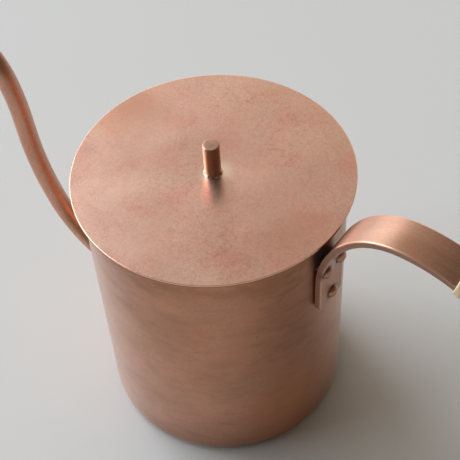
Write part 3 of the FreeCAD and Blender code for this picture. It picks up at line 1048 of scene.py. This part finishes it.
# The lid's collar
# A strip of thinner copper bent into a ring that drops inside the can and keeps the lid in place.
# It stands on edge under the disc, held by a fillet of silver braze along its inside.
collar_radius, collar_foot, collar_top = turned_size("lid_collar")
collar_wall = 0.8
collar_bore = collar_radius - collar_wall
collar_round = 0.2
collar_straight = collar_foot + collar_round
collar_outline = [(collar_bore, collar_top)]
collar_outline += ramp((collar_radius, collar_top), (collar_radius, collar_straight), 8)
collar_outline += arc((collar_radius - collar_round, collar_straight), collar_round, 0, -90, 3)
collar_outline += arc((collar_bore + collar_round, collar_straight), collar_round, -90, -180, 3)
collar_outline += [(collar_bore, collar_top)]
collar = as_object("collar", lathe(collar_outline, full_turn_steps), bar_metal, crease=10)
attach(collar, "lid")
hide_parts("lid_collar")

# The braze inside the collar
# A thin hollow fillet of the same silver braze, all round the corner between the collar and the disc.
# It was run in from the inside, where it isn't seen, and its edge wanders.
collar_braze_leg = 1.0
collar_braze_steps = 240
collar_braze_seed = 21
columns = []
for step in range(collar_braze_steps):
    way = way_round(step, collar_braze_steps)
    leg = collar_braze_leg*(0.8 + 0.2*wander(way*collar_bore, 5, collar_braze_seed))
    profile = [(0, 0), (leg, 0), (leg, -braze_rim), (leg*0.5, -leg*0.3), (leg*0.2, -leg*0.62), (0, -leg)]
    columns.append([way*(collar_bore - out) + Vector((0, 0, collar_top + drop)) for out, drop in profile])
collar_braze = as_object("collar_braze_ring", closed_ring(columns), silver)
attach(collar_braze, "lid")
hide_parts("collar_braze")

# The knob
# A short end of copper rod with a tenon turned on it, pushed through the disc and brazed.
# The top is filed flat and its rim eased by a few strokes, so it isn't quite even.
knob_radius, knob_foot, knob_top = turned_size("lid_knob")
knob_seat = lid_top - lid_sink(knob_radius, 0)
knob_strokes = ((0.0, 0.3), (0.04, 0.22), (0.2, 0.09), (0.3, 0.04), (0.45, 0.02))
knob_rows = 14
knob_steps = 64
knob_uneven = 0.06
knob_uneven_reach = 0.6
knob_seed = 31
tenon_radius = 2.0
tenon_end = knob_foot - lid_dish
tenon_bevel = 0.15


def knob_copper():
    """Bright drawn rod with lines along it, and a filed top."""
    material, shader, place = principled("knob_copper", Metallic=1.0, Coat_Weight=0.4, Coat_Roughness=0.2)
    tone = patinated(place, patch=6, metal=(236, 174, 138), tan=(226, 166, 132), rose=(230, 160, 126),
                     rose_share=0.5)[0]
    lines = rubbed_lines(place, (160, 700, 60))
    filed = spots(place, (((0, 0, knob_top), (12, 12, 0.8), 0.9),))
    tone = mixed(filed, shaded(tone, varied(lines, 0.86, 1.1)), colour(154, 127, 113))
    surface(shader, tone, varied(lines, 0.26, 0.38), bumped(lines, 0.03, 0.3))
    return material


knob_rim = [(knob_radius - inset, knob_top - drop) for inset, drop in knob_strokes]
knob_outline = [(0, tenon_end), (tenon_radius - tenon_bevel, tenon_end)]
knob_outline += [(tenon_radius, tenon_end + tenon_bevel), (tenon_radius, knob_seat)]
knob_outline += ramp((knob_radius, knob_seat), knob_rim[0], knob_rows) + knob_rim[:-1]
knob_outline += ramp(knob_rim[-1], (0, knob_top), 4) + [(0, knob_top)]
knob_shape = lathe(knob_outline, knob_steps)
for vertex in knob_shape.verts:
    if vertex.co.z > knob_top - knob_uneven_reach:
        vertex.co.z -= knob_uneven*(0.5 + 0.5*wander(vertex.co, 2.4, knob_seed))
knob = as_object("knob", knob_shape, knob_copper(), crease=10)
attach(knob, "lid")
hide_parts("lid_knob")

# The braze at the knob
# An uneven ring of silver braze that ran out round the foot of the knob, on top of the disc.
# It is the same braze as at the spout, rubbed down to a thin bright line.
knob_braze_leg = 0.715
knob_braze_seed = 9.0
knob_ring = braze_ring(knob_radius, knob_braze_leg, knob_braze_seed, steps=72)
knob_ring.transform(Matrix.Translation((0, 0, knob_seat)))
knob_braze = as_object("knob_braze_ring", knob_ring, silver)
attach(knob_braze, "lid")
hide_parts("knob_braze")

# The surroundings
# A pale grey table that runs out of sight, three wide windows on the spout's side, and a soft warm room
# that is brightest behind the kettle.
table_half = 40.0
table_corners = [(table_half*x, table_half*y, 0) for x, y in ((-1, -1), (1, -1), (1, 1), (-1, 1))]
table_mesh = bpy.data.meshes.new("table")
table_mesh.from_pydata(table_corners, [], [(0, 1, 2, 3)])
table_paint = principled("table_paint", Base_Color=(0.67, 0.677, 0.656, 1), Roughness=0.6)[0]
table = mesh_object("table", table_mesh, table_paint)

room_tone = (1.05, 0.885, 0.715, 1)
glow_power = 4.0
glows = (((-0.5, 0.85, 0.15), 1.2), ((-0.2, 0.3, 0.93), 0.25), ((0.4, -0.85, 0.35), 0.16),
         ((0.8, 0.5, 0.3), 0.1))
world = bpy.data.worlds.new("room")
bpy.context.scene.world = world
world.use_nodes = True
room = world.node_tree
looking = put(room, "ShaderNodeTexCoord")["Generated"].math("NORMALIZE")
light_level = 0.0
for side, strength in glows:
    facing_it = looking.math("DOT_PRODUCT", tuple(Vector(side).normalized()))["Value"]
    light_level = facing_it.math("MAXIMUM", 0.0).math("POWER", glow_power)*strength + light_level
background = room.nodes["Background"].inputs
background["Color"].default_value = room_tone
light_level.to(background["Strength"])

window_tone = (0.97, 1.033, 1.118)
windows = {"window": (178, 38, 44, 2.1), "near_window": (216, 22, 45, 1.35),
           "low_window": (150, 18, 46, 0.58)}
for name, (bearing, height, breadth, energy) in windows.items():
    lamp = bpy.data.lights.new(name, "SUN")
    lamp.angle = math.radians(breadth)
    lamp.energy = energy
    lamp.color = window_tone
    holder = placed(name, lamp)
    raised = Matrix.Rotation(-math.radians(height), 3, "Y")
    from_there = Matrix.Rotation(math.radians(bearing), 3, "Z") @ raised
    holder.rotation_euler = (from_there @ Vector((-1, 0, 0))).to_track_quat("-Z", "Y").to_euler()

# The camera
# It looks down at the lid from the handle's near side, as someone who stands at the table would,
# and is tilted a little to one side.
camera_place = Vector((0.16539, -0.19710, 0.38530))
camera_aim = Vector((0.02089, -0.01856, 0.11370))
camera_roll = 3.897
camera_lens = 83.31
camera_data = bpy.data.cameras.new("camera")
camera_data.lens = camera_lens
camera_data.sensor_width = 36.0
camera = placed("camera", camera_data)
forward = (camera_aim - camera_place).normalized()
level = forward.cross(Vector((0, 0, 1))).normalized()
right = Matrix.Rotation(math.radians(camera_roll), 3, forward) @ level
up = right.cross(forward)
camera.matrix_world = Matrix.Translation(camera_place) @ Matrix((right, up, -forward)).transposed().to_4x4()
bpy.context.scene.camera = camera
bpy.context.scene.view_settings.view_transform = "Standard"
